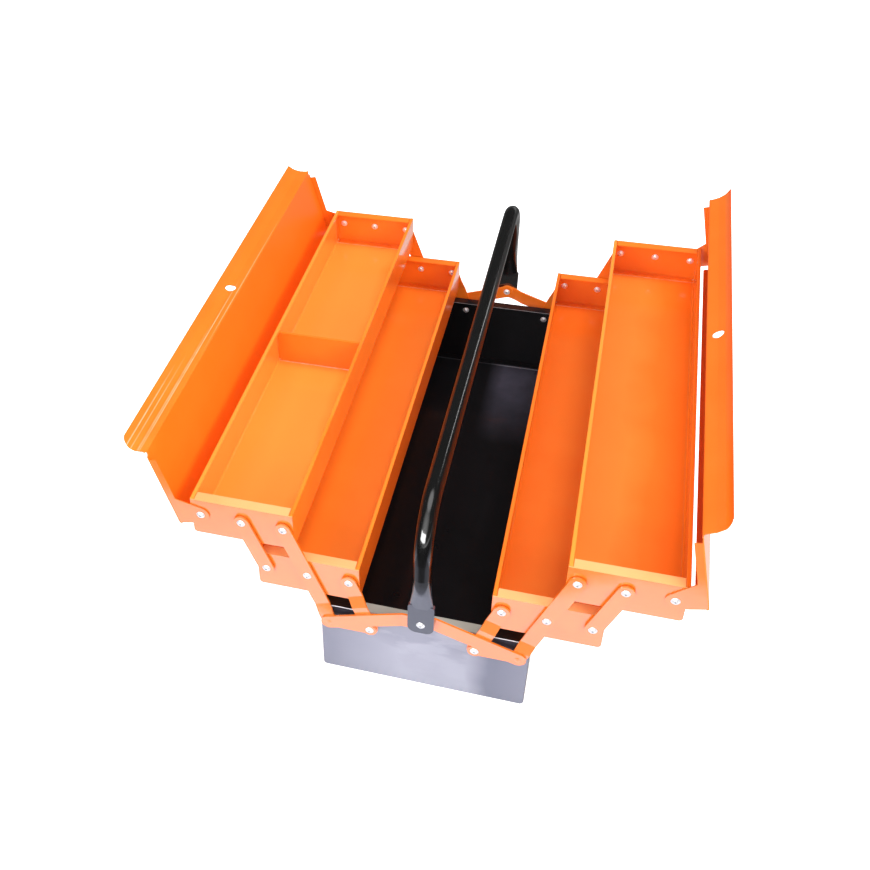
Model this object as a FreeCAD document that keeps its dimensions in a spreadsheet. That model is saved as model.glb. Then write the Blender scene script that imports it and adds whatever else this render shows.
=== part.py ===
import FreeCAD, Part
import Sketcher
import os
import re
from FreeCAD import Placement, Rotation, Vector

# Cantilever tool box, shown open: a deep base tray, two trays on each side that swing
# out on parallel arms, a lid on each outer tray, and a tubular handle over the middle.
# Millimetres. +Z is up, +Y runs from the front end to the rear end, and +X to the right.
# The origin is the centre of the underside of the base tray.

# Driving sizes. Angles are in degrees.
SIZES = {
    # base tray
    "base_length": 530,
    "base_width": 200,
    "base_height": 95,
    "sheet_gauge": 1,
    "bend_radius": 2.5,
    "rim_width": 3.6,
    "rim_return": 4.2,
    "rim_round": 0.7,
    # upper trays
    "tray_end_gap": 0.5,
    "tray_height": 43.6,
    "tray_gap": 0.4,
    "stack_gap": 0.4,
    # end plates of the trays
    "end_slit": 0.3,
    "end_drop": 0.9,
    "top_flange": 10.5,
    "top_flange_gap": 0.6,
    "weld_flange": 8,
    # arms and links
    "rivet_inset": 9.6,
    "rivet_drop": 18,
    "link_width": 15,
    "link_gauge": 2,
    "link_standoff": 1.1,
    "joggle_depth": 3,
    "arm_joggle_start": 9,
    "arm_joggle_end": 21,
    "low_joggle_start": 29,
    "low_joggle_end": 42,
    "open_lean": 20.5,
    # levers that carry the handle
    "lever_width": 15.5,
    "lever_rise": 31,
    "lobe_radius": 6.7,
    "belly_radius": 5.2,
    "lever_step_start": 11,
    "lever_step_end": 19,
    "lever_play": 0.2,
    "lever_lap_gap": 0.1,
    # handle
    "tube_diameter": 16.5,
    "tube_wall": 1.5,
    "handle_rise": 132,
    "handle_bend": 45,
    "tab_width": 24.5,
    "tab_thickness": 4.5,
    "tab_above": 27,
    "tab_below": 11,
    "tab_corner": 8,
    "tab_shoulder": 3,
    "tab_slit": 0.8,
    "tab_play": 0.2,
    "taper_length": 40,
    "taper_sink": 4,
    "taper_swell": 0.4,
    "taper_foot_share": 0.92,
    "waist_rise_share": 0.45,
    "waist_width_share": 1.1,
    "waist_depth_share": 0.72,
    "leg_gap": 0.5,
    # rivets, washers and spacers
    "shank_radius": 2.4,
    "pivot_clearance": 0.05,
    "head_radius": 4,
    "head_height": 1.8,
    "painted_head_radius": 3.2,
    "painted_head_height": 0.6,
    "head_play": 0.1,
    "washer_radius": 5.2,
    "spacer_radius": 5,
    # lids
    "lid_rise": 24.7,
    "lid_slope": 2.5,
    "lid_side_gap": 0.6,
    "lid_end_gap": 0.5,
    "lid_centre_gap": 1.9,
    "skirt_drop": 10.8,
    "skirt_relief": 9,
    "lid_bend": 1.2,
    "lip_wall": 11,
    "lip_wall_turn": 80,
    "lip_flare": 8,
    "lip_flare_turn": 64,
    "lip_edge": 8,
    "lip_edge_turn": 45,
    "lip_bend": 8,
    "left_lip_corner": 12,
    "right_lip_corner": 6,
    "lip_inset": 1.5,
    "notch_radius": 2.6,
    "padlock_radius": 5.5,
    "padlock_rise": 11,
    "strip_width": 6.5,
    "strip_end": 9,
    "ear_radius": 8.5,
    "ear_heel": 15,
    "ear_root": 20,
    "ear_tangent_across_share": 0.94,
    "ear_tangent_drop_share": 0.34,
    "left_lid_turn": 103,
    "right_lid_turn": 74.5,
    # divider in the left outer tray
    "divider_place": 4,
    "divider_drop": 4.5,
    "divider_hem": 2.6,
    "divider_flange": 9,
    "divider_gap": 0.3,
    # how far a cutting tool runs past what it cuts
    "overrun": 1,
}

# Sizes that follow from the driving sizes.
RULES = {
    "tray_length": "base_length - 2 * tray_end_gap",
    "quarter": "base_width / 4",
    "tray_width": "base_width / 2 - 2 * tray_gap",
    "rivet_spacing": "tray_width / 2 - rivet_inset",
    "tray_pitch": "tray_height + stack_gap",
    "half_arm": "sqrt(rivet_spacing ^ 2 + tray_pitch ^ 2)",
    "sway": "half_arm * sin(open_lean)",
    "lift": "half_arm * cos(open_lean)",
    "base_pivot_z": "base_height - rivet_drop",
    "outer_pivot_x": "quarter + rivet_spacing",
    "rivet_height": "tray_height - rivet_drop",
    "inner_tray_x": "quarter + rivet_spacing + sway",
    "inner_tray_z": "base_pivot_z + lift - rivet_height",
    "outer_tray_x": "quarter + 2 * rivet_spacing + 2 * sway",
    "outer_tray_z": "base_pivot_z + 2 * lift - rivet_height",
    "lid_hinge_x": "outer_tray_x + rivet_spacing",
    "lid_hinge_z": "outer_tray_z + rivet_height",
    "base_end": "base_length / 2",
    "tray_end": "tray_length / 2",
    "link_in": "tray_end + link_standoff",
    "link_out": "link_in + link_gauge",
    "low_link_in": "link_in + joggle_depth",
    "low_link_out": "low_link_in + link_gauge",
    "lever_in": "low_link_out + lever_play",
    "lever_out": "lever_in + link_gauge",
    "lap_step": "link_gauge + lever_lap_gap",
    "tab_in": "lever_out + lap_step + tab_play",
    "tab_out": "tab_in + tab_thickness",
    "tube_radius": "tube_diameter / 2",
    "leg_out": "link_out + head_play + head_height + leg_gap + tube_radius",
    "handle_pivot_z": "base_pivot_z + lever_rise",
    "run_z": "handle_pivot_z + handle_rise",
    "leg_foot_z": "handle_pivot_z + tab_above + taper_length",
    "taper_foot_z": "handle_pivot_z + tab_above - taper_sink",
    "waist_z": "handle_pivot_z + tab_above + taper_length * waist_rise_share",
    "tab_middle": "tab_in + tab_thickness / 2",
    "waist_place": "tab_middle + (leg_out - tab_middle) * waist_rise_share",
    "link_radius": "link_width / 2",
    "lever_radius": "lever_width / 2",
    "hole_radius": "shank_radius + pivot_clearance",
    "ear_in": "tray_end + lid_end_gap",
    "lid_end": "ear_in + sheet_gauge",
    "lid_back": "tray_width / 2 - rivet_spacing + lid_side_gap + sheet_gauge",
    "lid_reach": "quarter + rivet_spacing - lid_centre_gap",
    "edge_x": "lid_reach - lip_edge * cos(lip_edge_turn)",
    "flare_x": "edge_x - lip_flare * cos(lip_flare_turn)",
    "panel_end": "flare_x - lip_wall * cos(lip_wall_turn)",
    "skirt_x": "sheet_gauge - lid_back",
    "panel_end_z": "lid_rise + (panel_end - skirt_x) * tan(lid_slope)",
    "flare_z": "panel_end_z + lip_wall * sin(lip_wall_turn)",
    "edge_z": "flare_z + lip_flare * sin(lip_flare_turn)",
    "lip_top": "edge_z + lip_edge * sin(lip_edge_turn)",
    "padlock_z": "panel_end_z + padlock_rise",
}

SIDES = {"left": -1, "right": 1}
ENDS = {"front": -1, "rear": 1}

doc = FreeCAD.newDocument("cantilever_tool_box")
sheet = doc.addObject("Spreadsheet::Sheet", "Sizes")
nodes = []


def fill_sheet():
    """One row for each driving size: its name, and its value under that alias."""
    for row, (alias, value) in enumerate(SIZES.items(), start=1):
        sheet.set(f"A{row}", alias)
        sheet.set(f"B{row}", str(value))
        sheet.setAlias(f"B{row}", alias)
    doc.recompute()


def cells(text):
    """An expression in plain names, with each rule written out and each size as its cell."""
    def swap(match):
        word = match.group(0)
        if word in RULES:
            return "(" + cells(RULES[word]) + ")"
        return f"Sizes.{word}" if word in SIZES else word
    return re.sub(r"[A-Za-z_]\w*", swap, text)


def value(text):
    """The present value of an expression, as a number."""
    result = sheet.evalExpression(cells(text))
    return float(getattr(result, "Value", result))


def bind(obj, prop, text):
    obj.setExpression(prop, cells(text))


def place(obj, x="0", y="0", z="0"):
    for axis, text in (("x", x), ("y", y), ("z", z)):
        if text != "0":
            bind(obj, f"Placement.Base.{axis}", text)
    return obj


def turn_about_y(obj, angle):
    """Binds the object's turn about its own Y axis, in degrees."""
    obj.Placement = Placement(Vector(), Rotation(Vector(0, 1, 0), 1))
    bind(obj, "Placement.Rotation.Angle", angle)
    return obj


def outward(end, low, size):
    """Lowest Y of a slab that starts this far out from the middle, at the front or rear end."""
    return low if end > 0 else f"-({low}) - ({size})"


def box(name, x, y, z):
    """A box from (lowest place, size) pairs along X, Y and Z."""
    obj = doc.addObject("Part::Box", name)
    for prop, pair in (("Length", x), ("Width", y), ("Height", z)):
        bind(obj, prop, pair[1])
    return place(obj, x[0], y[0], z[0])


def rod_y(name, x, z, y, radius):
    """A cylinder along Y, where y is its (lowest place, length)."""
    obj = doc.addObject("Part::Cylinder", name)
    bind(obj, "Radius", radius)
    bind(obj, "Height", y[1])
    obj.Placement = Placement(Vector(), Rotation(Vector(1, 0, 0), -90))
    return place(obj, x, y[0], z)


def rod_x(name, y, z, x, radius):
    """A cylinder along X, where x is its (lowest place, length)."""
    obj = doc.addObject("Part::Cylinder", name)
    bind(obj, "Radius", radius)
    bind(obj, "Height", x[1])
    obj.Placement = Placement(Vector(), Rotation(Vector(0, 1, 0), 90))
    return place(obj, x[0], y, z)


def fuse(name, parts):
    obj = doc.addObject("Part::MultiFuse", name)
    obj.Shapes = parts
    obj.Refine = True
    return obj


def cut(name, base, tools):
    obj = doc.addObject("Part::Cut", name)
    obj.Base = base
    obj.Tool = tools[0] if len(tools) == 1 else group(name + "_tools", tools)
    return obj


def common(name, parts):
    obj = doc.addObject("Part::MultiCommon", name)
    obj.Shapes = parts
    return obj


def group(name, parts):
    """Separate solids kept together as one shape."""
    obj = doc.addObject("Part::Compound", name)
    obj.Links = parts
    return obj


def draw(sketch, points):
    """A closed outline in a sketch, with each corner held at its (across, up) place."""
    count = len(points)
    here = [Vector(value(across), value(up), 0) for across, up in points]
    for index in range(count):
        sketch.addGeometry(Part.LineSegment(here[index], here[(index + 1) % count]))
    for index in range(count):
        sketch.addConstraint(Sketcher.Constraint("Coincident", index, 2, (index + 1) % count, 1))
    for index, (across, up) in enumerate(points):
        for kind, text, now in (("DistanceX", across, here[index].x), ("DistanceY", up, here[index].y)):
            number = sketch.addConstraint(Sketcher.Constraint(kind, -1, 1, index, 1, now))
            bind(sketch, f"Constraints[{number}]", text)


# How a free sketch is turned so that its outline lies in the named plane.
PLANES = {
    "XZ": Rotation(Vector(1, 0, 0), 90),
    "YZ": Rotation(Vector(0, 1, 0), Vector(0, 0, 1), Vector(1, 0, 0), "ZXY"),
    "XY": Rotation(),
}


def prism(name, plane, points, low, size):
    """An outline in one plane, drawn out from low by size along the plane's normal axis."""
    sketch = doc.addObject("Sketcher::SketchObject", name + "_outline")
    sketch.Placement = Placement(Vector(), PLANES[plane])
    draw(sketch, points)
    normal = {"XZ": "y", "YZ": "x", "XY": "z"}[plane]
    place(sketch, **{normal: low})
    obj = doc.addObject("Part::Extrusion", name)
    obj.Base = sketch
    obj.Solid = True
    obj.DirMode = "Custom"
    obj.Dir = {"XZ": Vector(0, 1, 0), "YZ": Vector(1, 0, 0), "XY": Vector(0, 0, 1)}[plane]
    bind(obj, "LengthFwd", size)
    return obj


def profile_body(name, points, length, rounds):
    """A body whose XZ outline runs along Y about the middle, with its long edges rounded.

    rounds lists (edge places, radius), where each edge place is an (x, z) pair.
    """
    body = doc.addObject("PartDesign::Body", name)
    sketch = body.newObject("Sketcher::SketchObject", name + "_outline")
    plane = next(item for item in body.Origin.OriginFeatures if item.Role == "XZ_Plane")
    sketch.AttachmentSupport = [(plane, "")]
    sketch.MapMode = "FlatFace"
    draw(sketch, points)
    pad = body.newObject("PartDesign::Pad", name + "_pad")
    pad.Profile = sketch
    pad.Midplane = True
    bind(pad, "Length", length)
    doc.recompute()
    feature = pad
    for number, (places, radius) in enumerate(rounds):
        found = long_edges(feature, places)
        fillet = body.newObject("PartDesign::Fillet", f"{name}_round_{number}")
        fillet.Base = (feature, found)
        bind(fillet, "Radius", radius)
        feature = fillet
        doc.recompute()
    return body


def long_edges(feature, places):
    """Names of the edges along Y that pass through the given (x, z) places."""
    wanted = [(value(x), value(z)) for x, z in places]
    near = value("sheet_gauge") / 10
    found = []
    for number, edge in enumerate(feature.Shape.Edges, start=1):
        ends = [vertex.Point for vertex in edge.Vertexes]
        if len(ends) != 2 or abs(ends[0].x - ends[1].x) > near or abs(ends[0].z - ends[1].z) > near:
            continue
        if any(abs(ends[0].x - x) < near and abs(ends[0].z - z) < near for x, z in wanted):
            found.append(f"Edge{number}")
    if len(found) != len(wanted):
        raise ValueError(f"{feature.Name}: {len(found)} of {len(wanted)} edges found")
    return found


def node(obj, label):
    """Marks an object as one finished sub-part."""
    obj.Label = label
    nodes.append(obj)
    return obj


# Trays

def trough(name, width, height, length):
    """Floor and long walls bent from one sheet, with hemmed rims turned inwards."""
    half = f"({width}) / 2"
    right = [
        (half, "0"),
        (half, height),
        (f"{half} - rim_width", height),
        (f"{half} - rim_width", f"{height} - rim_return"),
        (f"{half} - rim_width + sheet_gauge", f"{height} - rim_return"),
        (f"{half} - rim_width + sheet_gauge", f"{height} - sheet_gauge"),
        (f"{half} - sheet_gauge", f"{height} - sheet_gauge"),
        (f"{half} - sheet_gauge", "sheet_gauge"),
    ]
    left = [(f"-({x})", z) for x, z in reversed(right)]
    both = ("", "-")
    rounds = [
        ([(f"{sign}({half} - sheet_gauge)", "sheet_gauge") for sign in both], "bend_radius"),
        ([(f"{sign}({half})", "0") for sign in both], "bend_radius + sheet_gauge"),
        ([(f"{sign}({half})", height) for sign in both], "rim_round"),
        ([(f"{sign}({half} - rim_width)", height) for sign in both], "rim_round"),
    ]
    return profile_body(name, right + left, f"{length} - 2 * sheet_gauge", rounds)


def end_plate(name, end, width, height, length, holes):
    """End of a tray: a plate with a flange on every edge, turned into the tray."""
    half = f"({width}) / 2"
    face = f"({length}) / 2"
    edge = f"({half} - end_slit)"
    top = f"({height} - end_drop)"
    outline = [(edge, "end_slit"), (edge, top), (f"-{edge}", top), (f"-{edge}", "end_slit")]
    corners = [([(edge, "end_slit"), (f"-{edge}", "end_slit")], "bend_radius + sheet_gauge")]
    plate = place(profile_body(name + "_plate", outline, "sheet_gauge", corners),
                  y=outward(end, f"{face} - sheet_gauge / 2", "0"))
    lip = f"({half} - rim_width - top_flange_gap)"
    floor_edge = f"({half} - sheet_gauge - bend_radius)"
    flange = (outward(end, f"{face} - top_flange", "top_flange"), "top_flange")
    weld = (outward(end, f"{face} - weld_flange", "weld_flange"), "weld_flange")
    foot = "2 * sheet_gauge + bend_radius"
    parts = [
        plate,
        box(name + "_top_flange", (f"-{lip}", f"2 * {lip}"), flange,
            (f"{top} - sheet_gauge", "sheet_gauge")),
        box(name + "_floor_flange", (f"-{floor_edge}", f"2 * {floor_edge}"), weld,
            ("sheet_gauge", "sheet_gauge")),
        box(name + "_left_flange", (f"-({half} - sheet_gauge)", "sheet_gauge"), weld,
            (foot, f"{height} - 2 * sheet_gauge - ({foot})")),
        box(name + "_right_flange", (f"{half} - 2 * sheet_gauge", "sheet_gauge"), weld,
            (foot, f"{height} - 2 * sheet_gauge - ({foot})")),
    ]
    low = outward(end, f"{face} - sheet_gauge - overrun", "sheet_gauge + 2 * overrun")
    tools = [rod_y(f"{name}_hole_{number}", x, z, (low, "sheet_gauge + 2 * overrun"), "hole_radius")
             for number, (x, z) in enumerate(holes)]
    return cut(name, fuse(name + "_pressing", parts), tools)


def tray_holes():
    """The three rivets in the end of a swinging tray."""
    return [("-rivet_spacing", "rivet_height"), ("0", "rivet_height"), ("rivet_spacing", "rivet_height")]


def base_holes():
    """The four rivets in the end of the base tray."""
    return [(f"{side} * {x}", "base_pivot_z") for side in SIDES.values() for x in ("quarter", "outer_pivot_x")]


# Rivets

def cap(name, x, z, end, face, radius, height):
    """A domed rivet head that stands out from a face at this distance from the middle."""
    obj = doc.addObject("Part::Sphere", name)
    ball = f"((({radius}) ^ 2 + ({height}) ^ 2) / (2 * ({height})))"
    bind(obj, "Radius", ball)
    bind(obj, "Angle1", f"asin(1 - ({height}) / {ball})")
    obj.Angle2 = 90
    obj.Placement = Placement(Vector(), Rotation(Vector(1, 0, 0), -90 * end))
    return place(obj, x, f"{end} * ({face}) - {end} * ({ball} - ({height}))", z)


def rivet(name, x, z, end, tail_face, head_face, head=("head_radius", "head_height")):
    """A rivet along Y: a dome on the inside, the shank, and a dome on the outside."""
    low = f"({tail_face} - head_height / 4)"
    span = f"({head_face} - {low} + ({head[1]}) / 4)"
    shank = rod_y(name + "_shank", x, z, (outward(end, low, span), span), "shank_radius")
    tail = cap(name + "_tail", x, z, -end, f"-({tail_face})", "head_radius", "head_height")
    dome = cap(name + "_dome", x, z, end, head_face, *head)
    return fuse(name, [shank, tail, dome])


def ring(name, x, z, end, low, size, radius):
    """A washer or spacer along Y."""
    body = rod_y(name + "_disc", x, z, (outward(end, low, size), size), radius)
    longer = f"({size}) + 2 * overrun"
    bore = rod_y(name + "_bore", x, z, (outward(end, f"{low} - overrun", longer), longer), "hole_radius")
    return cut(name, body, [bore])


# Arms, links and levers

def link(name, side, end, foot_x, foot_z, length, pivots, joggle=None):
    """A flat bar with round ends, leaning outwards. A joggle sets its lower end further out."""
    step = "joggle_depth" if joggle else "0"
    thick = f"(link_gauge + {step})"
    slab = (outward(end, "link_in", thick), thick)
    plan = fuse(name + "_plan", [
        box(name + "_bar", ("-link_radius", "link_width"), slab, ("0", length)),
        rod_y(name + "_foot", "0", "0", slab, "link_radius"),
        rod_y(name + "_head", "0", length, slab, "link_radius"),
    ])
    blank = plan
    if joggle:
        low = "-link_radius - overrun"
        high = f"{length} + link_radius + overrun"
        start, finish = joggle
        outline = [("low_link_in", low), ("low_link_out", low), ("low_link_out", start),
                   ("link_out", finish), ("link_out", high), ("link_in", high),
                   ("link_in", finish), ("low_link_in", start)]
        side_view = prism(name + "_side", "YZ", [(f"{end} * ({y})", z) for y, z in outline],
                          "-link_radius - overrun", "link_width + 2 * overrun")
        blank = common(name + "_blank", [plan, side_view])
    bore = f"({thick} + 2 * overrun)"
    tools = [rod_y(f"{name}_hole_{number}", "0", pivot,
                   (outward(end, "link_in - overrun", bore), bore), "hole_radius")
             for number, pivot in enumerate(pivots)]
    obj = turn_about_y(cut(name, blank, tools), f"{side} * open_lean")
    return place(obj, f"{side} * ({foot_x})", z=foot_z)


def strut(name, start, finish, radius, slab):
    """A flat bar with round ends between two points of the XZ plane, the left one first."""
    across = f"(({finish[0]}) - ({start[0]}))"
    up = f"(({finish[1]}) - ({start[1]}))"
    angle = f"(-atan({up} / {across}))"
    bar = turn_about_y(box(name + "_bar", ("0", f"sqrt({across} ^ 2 + {up} ^ 2)"), slab,
                           ("0", f"2 * ({radius})")), angle)
    place(bar, f"{start[0]} - ({radius}) * sin({angle})", slab[0], f"{start[1]} - ({radius}) * cos({angle})")
    return [bar, rod_y(name + "_start", start[0], start[1], slab, radius),
            rod_y(name + "_finish", finish[0], finish[1], slab, radius)]


def lever(name, side, end, lapped):
    """Bar from the arm's foot up to the handle, with a lobe for the lower link's rivet."""
    step = "lap_step" if lapped else "0"
    thick = f"(link_gauge + {step})"
    slab = (outward(end, "lever_in", thick), thick)
    foot = (f"{side} * outer_pivot_x", "base_pivot_z")
    lobe = (f"{side} * quarter", "base_pivot_z")
    top = ("0", "handle_pivot_z")
    pairs = [((top, foot), (lobe, foot)), ((foot, top), (foot, lobe))][side < 0]
    plan = fuse(name + "_plan", strut(name + "_long", *pairs[0], "lever_radius", slab)
                + strut(name + "_short", *pairs[1], "belly_radius", slab)
                + [rod_y(name + "_lobe", *lobe, slab, "lobe_radius")])
    blank = plan
    if lapped:
        near, far = "-lever_width", "outer_pivot_x + lever_width"
        outline = [(near, "lever_in + lap_step"), ("lever_step_start", "lever_in + lap_step"),
                   ("lever_step_end", "lever_in"), (far, "lever_in"), (far, "lever_out"),
                   ("lever_step_end", "lever_out"), ("lever_step_start", "lever_out + lap_step"),
                   (near, "lever_out + lap_step")]
        top_view = prism(name + "_top", "XY", [(f"{side} * ({x})", f"{end} * ({y})") for x, y in outline],
                         "base_pivot_z - lever_width", "lever_rise + 2 * lever_width")
        blank = common(name + "_blank", [plan, top_view])
    bore = f"({thick} + 2 * overrun)"
    tools = [rod_y(f"{name}_hole_{number}", x, z, (outward(end, "lever_in - overrun", bore), bore),
                   "hole_radius") for number, (x, z) in enumerate((foot, lobe, top))]
    return cut(name, blank, tools)


# Handle

def tube_set(name, radius):
    """The legs, bends and grip of the handle at one radius: its skin or its bore."""
    parts = [rod_y(name + "_grip", "0", "run_z", ("-(leg_out - handle_bend)", "2 * (leg_out - handle_bend)"),
                   radius)]
    for label, end in ENDS.items():
        leg = doc.addObject("Part::Cylinder", f"{name}_leg_{label}")
        bind(leg, "Radius", radius)
        bind(leg, "Height", "run_z - handle_bend - leg_foot_z")
        parts.append(place(leg, y=f"{end} * leg_out", z="leg_foot_z"))
        bend = doc.addObject("Part::Torus", f"{name}_bend_{label}")
        bind(bend, "Radius1", "handle_bend")
        bind(bend, "Radius2", radius)
        bend.Angle3 = 90
        turns = {1: (Vector(0, 1, 0), Vector(0, 0, 1)), -1: (Vector(0, 0, 1), Vector(0, -1, 0))}
        bend.Placement = Placement(Vector(), Rotation(*turns[end], Vector(1, 0, 0), "ZXY"))
        parts.append(place(bend, y=f"{end} * (leg_out - handle_bend)", z="run_z - handle_bend"))
    return parts


def ring_section(name, wide, deep, y, z):
    """A level ellipse, as long across the handle as it is wide."""
    ellipse = doc.addObject("Part::Ellipse", name)
    bind(ellipse, "MajorRadius", wide)
    bind(ellipse, "MinorRadius", deep)
    return place(ellipse, y=y, z=z)


def taper(name, end, wall, wide, deep):
    """The stretch where the round tube is squeezed flat: an ellipse, a waist and a circle."""
    circle = doc.addObject("Part::Circle", name + "_circle")
    bind(circle, "Radius", f"tube_radius - {wall}")
    place(circle, y=f"{end} * leg_out", z="leg_foot_z")
    waist = ring_section(name + "_waist", f"tube_radius * waist_width_share - {wall}",
                         f"tube_radius * waist_depth_share - {wall}", f"{end} * waist_place", "waist_z")
    foot = ring_section(name + "_foot", wide, deep, f"{end} * tab_middle", "taper_foot_z")
    loft = doc.addObject("Part::Loft", name)
    loft.Sections = [foot, waist, circle]
    loft.Solid = True
    loft.Ruled = True
    return loft


def handle():
    """Bent tube with flattened ends, each with one rivet hole."""
    skin = tube_set("skin", "tube_radius")
    bore = tube_set("bore", "tube_radius - tube_wall")
    half = "(tab_width / 2)"
    low = "(handle_pivot_z - tab_below)"
    high = "(handle_pivot_z + tab_above)"
    for label, end in ENDS.items():
        outline = [(half, low), (half, high), (f"-{half}", high), (f"-{half}", low)]
        rounds = [([(half, low), (f"-{half}", low)], "tab_corner"),
                  ([(half, high), (f"-{half}", high)], "tab_shoulder")]
        tab = profile_body(f"tab_{label}", outline, "tab_thickness", rounds)
        skin.append(place(tab, y=f"{end} * tab_middle"))
        skin.append(taper(f"taper_{label}", end, "0", f"{half} * taper_foot_share",
                          "tab_thickness / 2 + taper_swell"))
        slit_half = "(tab_width / 2 - tab_thickness / 2)"
        bore.append(taper(f"taper_bore_{label}", end, "tube_wall", f"{slit_half} - tab_slit", "tab_slit"))
        bore.append(box(f"slit_{label}", (f"-{slit_half}", f"2 * {slit_half}"),
                        (outward(end, "tab_middle - tab_slit / 2", "tab_slit"), "tab_slit"),
                        (f"{low} - overrun", "tab_above + tab_below + overrun")))
    tools = [fuse("handle_bore", bore)]
    for label, end in ENDS.items():
        through = "(tab_thickness + 2 * overrun)"
        tools.append(rod_y(f"handle_hole_{label}", "0", "handle_pivot_z",
                           (outward(end, "tab_in - overrun", through), through), "hole_radius"))
    return cut("handle", fuse("handle_skin", skin), tools)


# Lids, drawn closed about their hinge, where inward is the way towards the middle

def offset_corner(x, z, before, after):
    """The sheet's other face at a bend, between two runs that head in these directions."""
    mean = f"((({before}) + ({after})) / 2)"
    reach = f"(sheet_gauge / cos((({after}) - ({before})) / 2))"
    return f"{x} - {reach} * sin({mean})", f"{z} + {reach} * cos({mean})"


def lid_panel(name, side):
    """Sheet over the outer tray: a skirt, a sloped panel and an upturned, flared lip."""
    inward = -side
    under = [
        ("skirt_x", "lid_rise - skirt_drop"),
        ("skirt_x", "lid_rise"),
        ("panel_end", "panel_end_z"),
        ("flare_x", "flare_z"),
        ("edge_x", "edge_z"),
        ("lid_reach", "lip_top"),
    ]
    headings = ["90", "lid_slope", "lip_wall_turn", "lip_flare_turn", "lip_edge_turn"]
    before = headings[:1] + headings
    after = headings + headings[-1:]
    over = [offset_corner(x, z, first, second) for (x, z), first, second in zip(under, before, after)]
    outline = under + over[::-1]
    if inward < 0:
        outline = outline[::-1]
    turned = {point: (f"{inward} * ({point[0]})", point[1]) for point in outline}
    rounds = [
        ([turned[under[1]], turned[under[2]]], "lid_bend"),
        ([turned[over[1]], turned[over[2]]], "lid_bend + sheet_gauge"),
        ([turned[under[3]], turned[under[4]]], "lip_bend"),
        ([turned[over[3]], turned[over[4]]], "lip_bend - sheet_gauge"),
    ]
    sheet_body = profile_body(name + "_bent", [turned[point] for point in outline], "2 * lid_end", rounds)
    lip_span = (f"{inward} * (panel_end + lid_reach) / 2 - lip_wall", "2 * lip_wall")
    tools = [rod_x(name + "_padlock_hole", "0", "padlock_z", lip_span, "padlock_radius")]
    # Only the lip's front corner is rounded, and less so on the right lid.
    radius = "left_lip_corner" if side < 0 else "right_lip_corner"
    corner = f"lid_end - lip_inset - {radius}"
    size = f"({radius} + lip_inset + overrun)"
    square = box(name + "_square", lip_span, (outward(ENDS["front"], corner, size), size),
                 (f"lip_top - {radius}", size))
    longer = (f"{lip_span[0]} - overrun", f"{lip_span[1]} + 2 * overrun")
    disc = rod_x(name + "_disc", f"{ENDS['front']} * ({corner})", f"lip_top - {radius}", longer, radius)
    tools.append(cut(name + "_corner", square, [disc]))
    for label, end in ENDS.items():
        inset = "(lip_inset + overrun)"
        tools.append(box(f"{name}_inset_{label}", lip_span, (outward(end, "lid_end - lip_inset", inset), inset),
                         ("panel_end_z + lid_bend + sheet_gauge", "lip_top - panel_end_z")))
        notch = doc.addObject("Part::Cylinder", f"{name}_notch_{label}")
        bind(notch, "Radius", "notch_radius")
        bind(notch, "Height", "2 * notch_radius + lid_bend + sheet_gauge")
        tools.append(place(notch, f"{inward} * (panel_end - notch_radius)", f"{end} * lid_end",
                           "panel_end_z - 2 * notch_radius"))
        relief = "(skirt_relief + overrun)"
        skirt_span = (f"{inward} * skirt_x - 2 * sheet_gauge", "4 * sheet_gauge")
        tools.append(box(f"{name}_relief_{label}", skirt_span,
                         (outward(end, "lid_end - skirt_relief", relief), relief),
                         ("lid_rise - skirt_drop - overrun", "skirt_drop - lid_bend + overrun")))
    return swing(cut(name, sheet_body, tools), side)


def lid_bracket(name, side, end):
    """End of a lid: a strip under the panel that widens into an ear at the hinge rivet."""
    inward = -side
    tip = "(panel_end - strip_end)"
    tip_z = "(panel_end_z - strip_end * tan(lid_slope))"
    root_z = "(lid_rise + (ear_root - skirt_x) * tan(lid_slope))"
    outline = [("skirt_x + lid_bend", "lid_rise + lid_bend * tan(lid_slope)"),
               ("skirt_x", "lid_rise - lid_bend"), ("skirt_x", "lid_rise - ear_heel"),
               ("-ear_radius", "0"),
               ("ear_radius * ear_tangent_across_share", "-ear_radius * ear_tangent_drop_share"),
               ("ear_root", f"{root_z} - strip_width"), (tip, f"{tip_z} - strip_width"), (tip, tip_z)]
    slab = (outward(end, "ear_in", "sheet_gauge"), "sheet_gauge")
    web = prism(name + "_web", "XZ", [(f"{inward} * ({x})", z) for x, z in outline], *slab)
    boss = rod_y(name + "_boss", "0", "0", slab, "ear_radius")
    bore = (outward(end, "ear_in - overrun", "sheet_gauge + 2 * overrun"), "sheet_gauge + 2 * overrun")
    hole = rod_y(name + "_hole", "0", "0", bore, "hole_radius")
    return swing(cut(name, fuse(name + "_blank", [web, boss]), [hole]), side)


def swing(obj, side):
    """Turns a piece of the lid open about its hinge and sets it on the outer tray."""
    angle = "right_lid_turn" if side > 0 else "left_lid_turn"
    return place(turn_about_y(obj, f"{side} * {angle}"), f"{side} * lid_hinge_x", z="lid_hinge_z")


# Divider

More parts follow.
